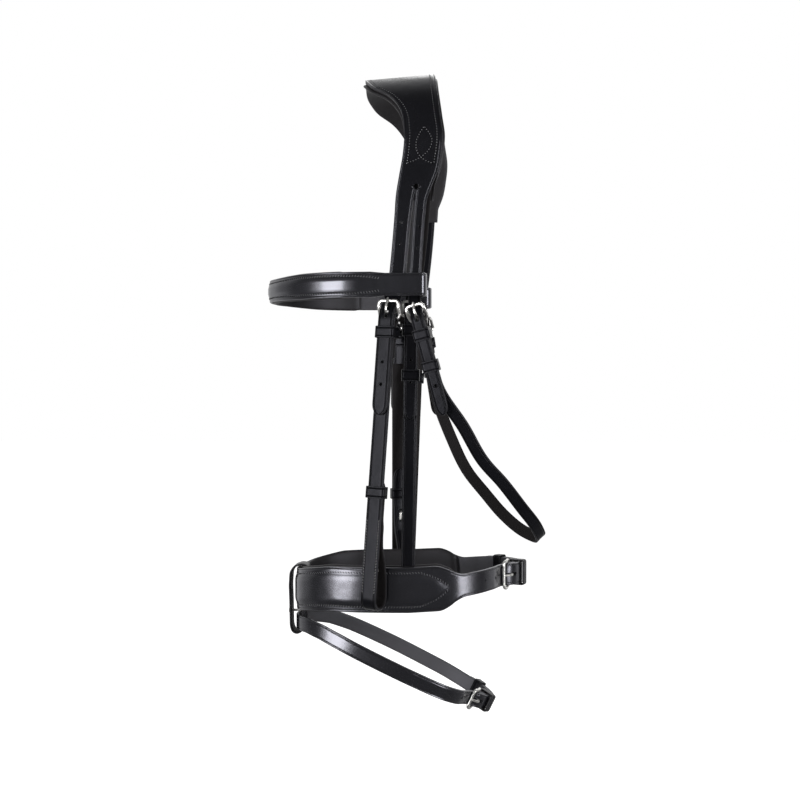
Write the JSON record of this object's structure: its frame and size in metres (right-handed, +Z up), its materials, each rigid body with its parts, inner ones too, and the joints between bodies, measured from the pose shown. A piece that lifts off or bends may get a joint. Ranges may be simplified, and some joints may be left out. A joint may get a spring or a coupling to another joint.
{
  "type": "horse bridle",
  "caption": "Black leather show bridle with padded headpiece, browband and noseband, buckled cheekpieces, throatlatch, and a flash strap hung from the noseband.",
  "frame": {"origin": "the middle of the seat under the headpiece, where the horse's poll carries it", "axes": "+Z up, -X towards the horse's nose, -Y towards its near (left) side"},
  "size_m": [0.2623, 0.1798, 0.6053],
  "materials": {
    "bridle_leather": "smooth, waxed",
    "lining_leather": "soft, matte",
    "steel": "polished"
  },
  "bodies": {
    "browband": {"browband": "bridle_leather", "browband_lining": "lining_leather"},
    "cheekpiece_left": {"cheek_billet_left": "bridle_leather", "cheek_buckle_left": "steel", "cheek_keeper_left": "bridle_leather", "cheekpiece_left": "bridle_leather", "hook_stud_left": "steel"},
    "cheekpiece_right": {"cheek_billet_right": "bridle_leather", "cheek_buckle_right": "steel", "cheek_keeper_right": "bridle_leather", "cheekpiece_right": "bridle_leather", "hook_stud_right": "steel"},
    "cheek_runner_left": {"cheek_runner_left": "bridle_leather"},
    "cheek_runner_right": {"cheek_runner_right": "bridle_leather"},
    "cheek_tongue_left": {"cheek_tongue_left": "steel"},
    "cheek_tongue_right": {"cheek_tongue_right": "steel"},
    "flash_strap": {"flash_buckle": "steel", "flash_keeper": "bridle_leather", "flash_runner": "bridle_leather", "flash_strap": "bridle_leather"},
    "noseband": {"flash_loop": "bridle_leather", "flash_stud": "steel", "hanger_billet_left": "bridle_leather", "hanger_billet_right": "bridle_leather", "hanger_buckle_left": "steel", "hanger_buckle_right": "steel", "hanger_keeper_left": "bridle_leather", "hanger_keeper_right": "bridle_leather", "hanger_left": "bridle_leather", "hanger_right": "bridle_leather", "noseband": "bridle_leather", "noseband_buckle": "steel", "noseband_keeper": "bridle_leather", "noseband_lining": "lining_leather", "noseband_runner": "bridle_leather"},
    "flash_tongue": {"flash_tongue": "steel"},
    "hanger_runner_left": {"hanger_runner_left": "bridle_leather"},
    "hanger_runner_right": {"hanger_runner_right": "bridle_leather"},
    "hanger_tongue_left": {"hanger_tongue_left": "steel"},
    "hanger_tongue_right": {"hanger_tongue_right": "steel"},
    "headpiece": {"headpiece": "bridle_leather", "headpiece_lining": "lining_leather", "noseband_headstrap": "bridle_leather"},
    "noseband_tongue": {"noseband_tongue": "steel"},
    "throatlatch": {"throat_billet_left": "bridle_leather", "throat_billet_right": "bridle_leather", "throat_buckle_left": "steel", "throat_buckle_right": "steel", "throat_keeper_left": "bridle_leather", "throat_keeper_right": "bridle_leather", "throatlatch": "bridle_leather"},
    "throat_runner_left": {"throat_runner_left": "bridle_leather"},
    "throat_runner_right": {"throat_runner_right": "bridle_leather"},
    "throat_tongue_left": {"throat_tongue_left": "steel"},
    "throat_tongue_right": {"throat_tongue_right": "steel"}
  },
  "joints": [
    {"name": "cheek_swing_left", "type": "hinge", "parent": "headpiece", "child": "cheekpiece_left", "pos_m": [-0.0024, -0.068, -0.2056], "axis": [0, 1, 0], "range_deg": [-3, 4]},
    {"name": "cheek_tongue_left_turn", "type": "hinge", "parent": "cheekpiece_left", "child": "cheek_tongue_left", "pos_m": [-0.0062, -0.0692, -0.225], "axis": [0.9129, -0.4064, -0.0376], "range_deg": [0, 20]},
    {"name": "cheek_runner_left_slide", "type": "slide", "parent": "cheekpiece_left", "child": "cheek_runner_left", "axis": [-0.0653, -0.0544, -0.9964], "range_m": [-0.005, 0.016]},
    {"name": "throat_tongue_left_turn", "type": "hinge", "parent": "throatlatch", "child": "throat_tongue_left", "pos_m": [0.0206, -0.0741, -0.227], "axis": [0.9399, -0.2344, 0.2482], "range_deg": [0, 20]},
    {"name": "throat_runner_left_slide", "type": "slide", "parent": "throatlatch", "child": "throat_runner_left", "axis": [0.2666, 0.0499, -0.9625], "range_m": [-0.011, 0.011]},
    {"name": "hanger_tongue_left_turn", "type": "hinge", "parent": "noseband", "child": "hanger_tongue_left", "pos_m": [0.013, -0.0594, -0.222], "axis": [0.9999, 0, -0.0154], "range_deg": [0, 12]},
    {"name": "hanger_runner_left_slide", "type": "slide", "parent": "noseband", "child": "hanger_runner_left", "axis": [-0.0154, 0.0296, -0.9994], "range_m": [-0.011, 0.024]},
    {"name": "cheek_swing_right", "type": "hinge", "parent": "headpiece", "child": "cheekpiece_right", "pos_m": [-0.0024, 0.068, -0.2056], "axis": [0, 1, 0], "range_deg": [-3, 4]},
    {"name": "cheek_tongue_right_turn", "type": "hinge", "parent": "cheekpiece_right", "child": "cheek_tongue_right", "pos_m": [-0.00501, 0.0692, -0.225], "axis": [-0.9134, -0.4067, -0.0182], "range_deg": [0, 20]},
    {"name": "cheek_runner_right_slide", "type": "slide", "parent": "cheekpiece_right", "child": "cheek_runner_right", "axis": [-0.0044, 0.0545, -0.9985], "range_m": [-0.019, 0.003]},
    {"name": "throat_tongue_right_turn", "type": "hinge", "parent": "throatlatch", "child": "throat_tongue_right", "pos_m": [0.0206, 0.0741, -0.227], "axis": [-0.9605, -0.2395, -0.142], "range_deg": [0, 20]},
    {"name": "throat_runner_right_slide", "type": "slide", "parent": "throatlatch", "child": "throat_runner_right", "axis": [0.1585, -0.0511, -0.986], "range_m": [-0.011, 0.011]},
    {"name": "hanger_tongue_right_turn", "type": "hinge", "parent": "noseband", "child": "hanger_tongue_right", "pos_m": [0.013, 0.0594, -0.222], "axis": [-0.9993, 0, 0.0369], "range_deg": [0, 12]},
    {"name": "hanger_runner_right_slide", "type": "slide", "parent": "noseband", "child": "hanger_runner_right", "axis": [-0.0369, -0.0296, -0.9989], "range_m": [-0.011, 0.024]},
    {"name": "throatlatch_swing", "type": "hinge", "parent": "headpiece", "child": "throatlatch", "pos_m": [0.0158, 0, -0.2056], "axis": [0, 1, 0], "range_deg": [-7, 10]},
    {"name": "noseband_swing", "type": "hinge", "parent": "headpiece", "child": "noseband", "pos_m": [0.0146, 0, -0.2056], "axis": [0, 1, 0], "range_deg": [-3, 3]},
    {"name": "browband_slide", "type": "slide", "parent": "headpiece", "child": "browband", "axis": [0.0896, 0, 0.996], "range_m": [0, 0.012]},
    {"name": "flash_swing", "type": "hinge", "parent": "noseband", "child": "flash_strap", "pos_m": [-0.0992, 0, -0.5085], "axis": [0, 1, 0], "range_deg": [-6, 10]},
    {"name": "noseband_tongue_turn", "type": "hinge", "parent": "noseband", "child": "noseband_tongue", "pos_m": [0.10192, 0.00069, -0.46201], "axis": [-0.0041, -0.006, 1], "range_deg": [0, 20]},
    {"name": "flash_tongue_turn", "type": "hinge", "parent": "flash_strap", "child": "flash_tongue", "pos_m": [0.07134, -0.00265, -0.5802], "axis": [0.4417, 0.0048, 0.8972], "range_deg": [0, 20]}
  ]
}
